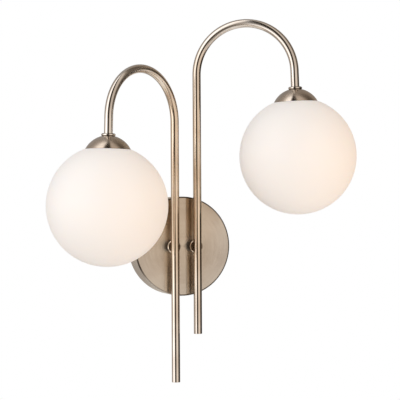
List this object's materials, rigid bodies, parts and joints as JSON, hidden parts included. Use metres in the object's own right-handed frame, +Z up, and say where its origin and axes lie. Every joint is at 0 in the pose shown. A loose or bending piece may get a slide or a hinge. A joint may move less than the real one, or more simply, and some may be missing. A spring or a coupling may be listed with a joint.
{
  "type": "double arm wall sconce",
  "caption": "Wall light with two tall hooked brass tubes on a round canopy, each hanging an opal glass globe under a domed cup.",
  "frame": {"origin": "middle of the wall bracket's back face, on the wall", "axes": "+Z up, -Y out of the wall towards the room, +X to the right as seen from the room"},
  "size_m": [0.3708, 0.1821, 0.433],
  "materials": {
    "antique_brass": "brushed antique brass, bronzed, clear lacquered",
    "opal_glass": "matt opal white, etched outside",
    "zinc_steel": "zinc plated, dull",
    "bare_brass": "turned, plain",
    "terminal_plastic": "moulded polyamide, natural white",
    "silicone": "translucent silicone",
    "wire_sleeve": "silicone insulation, one core of each arm brown and the other blue",
    "socket_ceramic": "unglazed white",
    "contact_steel": "nickel plated",
    "bulb_plastic": "moulded white",
    "frosted_cover": "frosted translucent"
  },
  "bodies": {
    "fixture": {"wall_bracket": "zinc_steel", "canopy": "antique_brass", "canopy_side_screws": "antique_brass", "earth_screw": "bare_brass", "terminal_housing": "terminal_plastic", "terminal_inserts": "bare_brass", "terminal_screws": "zinc_steel", "stub_washers": "zinc_steel", "stub_nuts": "zinc_steel", "dome_washers": "zinc_steel", "dome_nuts": "zinc_steel", "left_arm": "antique_brass", "left_foot_plug": "antique_brass", "left_stand_off": "antique_brass", "left_stub": "bare_brass", "left_arm_wires": "wire_sleeve", "left_collar": "antique_brass", "left_dome_cup": "antique_brass", "left_glass_carrier": "bare_brass", "left_lampholder_cap": "zinc_steel", "left_lampholder_insert": "socket_ceramic", "left_lampholder_contacts": "contact_steel", "right_arm": "antique_brass", "right_foot_plug": "antique_brass", "right_stand_off": "antique_brass", "right_stub": "bare_brass", "right_arm_wires": "wire_sleeve", "right_collar": "antique_brass", "right_dome_cup": "antique_brass", "right_glass_carrier": "bare_brass", "right_lampholder_cap": "zinc_steel", "right_lampholder_insert": "socket_ceramic", "right_lampholder_contacts": "contact_steel"},
    "left_gasket": {"left_gasket": "silicone"},
    "left_globe": {"left_globe": "opal_glass"},
    "left_bulb": {"left_bulb_base": "bulb_plastic", "left_bulb_cover": "frosted_cover", "left_bulb_pins": "contact_steel"},
    "right_gasket": {"right_gasket": "silicone"},
    "right_globe": {"right_globe": "opal_glass"},
    "right_bulb": {"right_bulb_base": "bulb_plastic", "right_bulb_cover": "frosted_cover", "right_bulb_pins": "contact_steel"}
  },
  "joints": [
    {"name": "left_globe_lower", "type": "slide", "parent": "fixture", "child": "left_gasket", "axis": [-0.0289, -0.0195, -0.9994], "range_m": [0, 0.00601]},
    {"name": "left_globe_unscrew", "type": "hinge", "parent": "left_gasket", "child": "left_globe", "pos_m": [-0.11638, -0.11305, 0.05015], "axis": [-0.0289, -0.0195, -0.9994], "range_deg": [0, 540]},
    {"name": "left_bulb_pull", "type": "slide", "parent": "fixture", "child": "left_bulb", "axis": [-0.0289, -0.0195, -0.9994], "range_m": [0, 0.014]},
    {"name": "right_globe_lower", "type": "slide", "parent": "fixture", "child": "right_gasket", "axis": [0.0289, -0.0195, -0.9994], "range_m": [0, 0.00601]},
    {"name": "right_globe_unscrew", "type": "hinge", "parent": "right_gasket", "child": "right_globe", "pos_m": [0.11638, -0.11305, 0.10716], "axis": [0.0289, -0.0195, -0.9994], "range_deg": [0, 540]},
    {"name": "right_bulb_pull", "type": "slide", "parent": "fixture", "child": "right_bulb", "axis": [0.0289, -0.0195, -0.9994], "range_m": [0, 0.014]}
  ],
  "couplings": [
    {"joint": "left_globe_lower", "follows": "left_globe_unscrew", "m_per_rad": 0.00063662},
    {"joint": "right_globe_lower", "follows": "right_globe_unscrew", "m_per_rad": 0.00063662}
  ]
}
